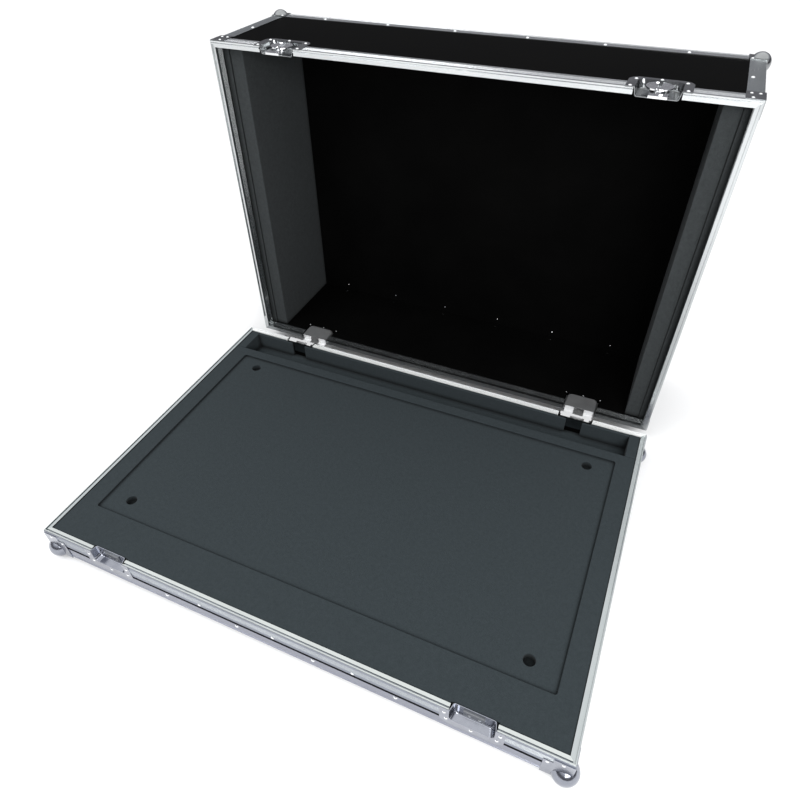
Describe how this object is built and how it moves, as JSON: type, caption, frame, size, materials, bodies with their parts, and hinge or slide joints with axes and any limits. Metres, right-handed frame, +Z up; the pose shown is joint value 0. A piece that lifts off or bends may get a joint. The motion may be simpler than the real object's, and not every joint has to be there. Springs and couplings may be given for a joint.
{
  "type": "mixer flight case",
  "caption": "Black laminate mixer flight case with aluminium edging, ball corners and recessed butterfly latches, shown open with a grey foam bed and a deep hinged lid",
  "frame": {"origin": "on the recess floor of the foam bed, where a mixing desk rests, on the case's centre lines", "axes": "+X to the right as seen from the front, +Y to the back where the hinges are, +Z up"},
  "size_m": [1.138, 1.1438, 0.821],
  "materials": {
    "laminate": "satin",
    "extrusion": "satin",
    "pressed_steel": "satin",
    "latch_steel": "polished",
    "foam": "matte",
    "grip": "matte"
  },
  "bodies": {
    "base": {"base_floor_panel": "laminate", "base_front_panel": "laminate", "base_back_panel": "laminate", "base_left_panel": "laminate", "base_right_panel": "laminate", "base_bottom_edges_long": "extrusion", "base_bottom_edges_short": "extrusion", "base_rim_front": "extrusion", "base_rim_back": "extrusion", "base_rim_sides": "extrusion", "base_ball_corners": "pressed_steel", "latch_lower_dish_left": "pressed_steel", "latch_lower_dish_right": "pressed_steel", "latch_strikes": "pressed_steel", "hinge_lower_dishes": "pressed_steel", "hinge_base_leaves": "pressed_steel", "hinge_pins": "latch_steel", "foam_bed": "foam", "foam_trough_liner": "foam", "base_rivets": "latch_steel"},
    "lid": {"lid_top_panel": "laminate", "lid_front_panel": "laminate", "lid_back_panel": "laminate", "lid_left_panel": "laminate", "lid_right_panel": "laminate", "lid_top_edges_long": "extrusion", "lid_top_edges_short": "extrusion", "lid_corner_posts": "extrusion", "lid_rim_front": "extrusion", "lid_rim_back": "extrusion", "lid_rim_sides": "extrusion", "lid_ball_corners": "pressed_steel", "lid_rim_braces": "pressed_steel", "latch_upper_dish_left": "pressed_steel", "latch_upper_dish_right": "pressed_steel", "hinge_upper_dishes": "pressed_steel", "hinge_arms": "pressed_steel", "latch_cam_plates": "pressed_steel", "handle_dish_left": "pressed_steel", "handle_dish_right": "pressed_steel", "lid_left_foam_outer": "foam", "lid_left_foam_inner": "foam", "lid_right_foam_outer": "foam", "lid_right_foam_inner": "foam", "lid_rivets": "latch_steel"},
    "latch_left": {"latch_left_turn": "latch_steel"},
    "latch_left_wing_inner": {"latch_left_wing_inner": "latch_steel"},
    "latch_left_wing_outer": {"latch_left_wing_outer": "latch_steel"},
    "latch_left_hook": {"latch_left_hook": "latch_steel"},
    "latch_right": {"latch_right_turn": "latch_steel"},
    "latch_right_wing_inner": {"latch_right_wing_inner": "latch_steel"},
    "latch_right_wing_outer": {"latch_right_wing_outer": "latch_steel"},
    "latch_right_hook": {"latch_right_hook": "latch_steel"},
    "handle_left": {"handle_left_bail": "latch_steel", "handle_left_grip": "grip"},
    "handle_right": {"handle_right_bail": "latch_steel", "handle_right_grip": "grip"}
  },
  "joints": [
    {"name": "lid_hinge", "type": "hinge", "parent": "base", "child": "lid", "pos_m": [0, 0.394, -0.0465], "axis": [1, 0, 0], "range_deg": [0, 90]},
    {"name": "latch_left_turning", "type": "hinge", "parent": "lid", "child": "latch_left", "pos_m": [-0.386, 0.472, 0.7335], "axis": [0, 0, 1], "range_deg": [0, 180]},
    {"name": "latch_left_wing_inner_fold", "type": "hinge", "parent": "latch_left", "child": "latch_left_wing_inner", "pos_m": [-0.3826, 0.472, 0.7317], "axis": [0, -1, 0], "range_deg": [0, 90]},
    {"name": "latch_left_wing_outer_fold", "type": "hinge", "parent": "latch_left", "child": "latch_left_wing_outer", "pos_m": [-0.3894, 0.472, 0.7317], "axis": [0, 1, 0], "range_deg": [0, 90]},
    {"name": "latch_left_drawing", "type": "slide", "parent": "lid", "child": "latch_left_hook", "axis": [0, 0.944, -0.33], "range_m": [0, 0.01061]},
    {"name": "latch_right_turning", "type": "hinge", "parent": "lid", "child": "latch_right", "pos_m": [0.386, 0.472, 0.7335], "axis": [0, 0, 1], "range_deg": [0, 180]},
    {"name": "latch_right_wing_inner_fold", "type": "hinge", "parent": "latch_right", "child": "latch_right_wing_inner", "pos_m": [0.3826, 0.472, 0.7317], "axis": [0, 1, 0], "range_deg": [0, 90]},
    {"name": "latch_right_wing_outer_fold", "type": "hinge", "parent": "latch_right", "child": "latch_right_wing_outer", "pos_m": [0.3894, 0.472, 0.7317], "axis": [0, -1, 0], "range_deg": [0, 90]},
    {"name": "latch_right_drawing", "type": "slide", "parent": "lid", "child": "latch_right_hook", "axis": [0, 0.944, -0.33], "range_m": [0, 0.01061]},
    {"name": "handle_left_swing", "type": "hinge", "parent": "lid", "child": "handle_left", "pos_m": [-0.5465, 0.624, 0.3475], "axis": [0, 0, -1], "range_deg": [0, 90], "stiffness_Nm_per_rad": 0.4},
    {"name": "handle_right_swing", "type": "hinge", "parent": "lid", "child": "handle_right", "pos_m": [0.5465, 0.624, 0.3475], "axis": [0, 0, 1], "range_deg": [0, 90], "stiffness_Nm_per_rad": 0.4}
  ],
  "couplings": [
    {"joint": "latch_left_drawing", "follows": "latch_left_turning", "m_per_rad": 0.003374},
    {"joint": "latch_right_drawing", "follows": "latch_right_turning", "m_per_rad": 0.003374}
  ]
}
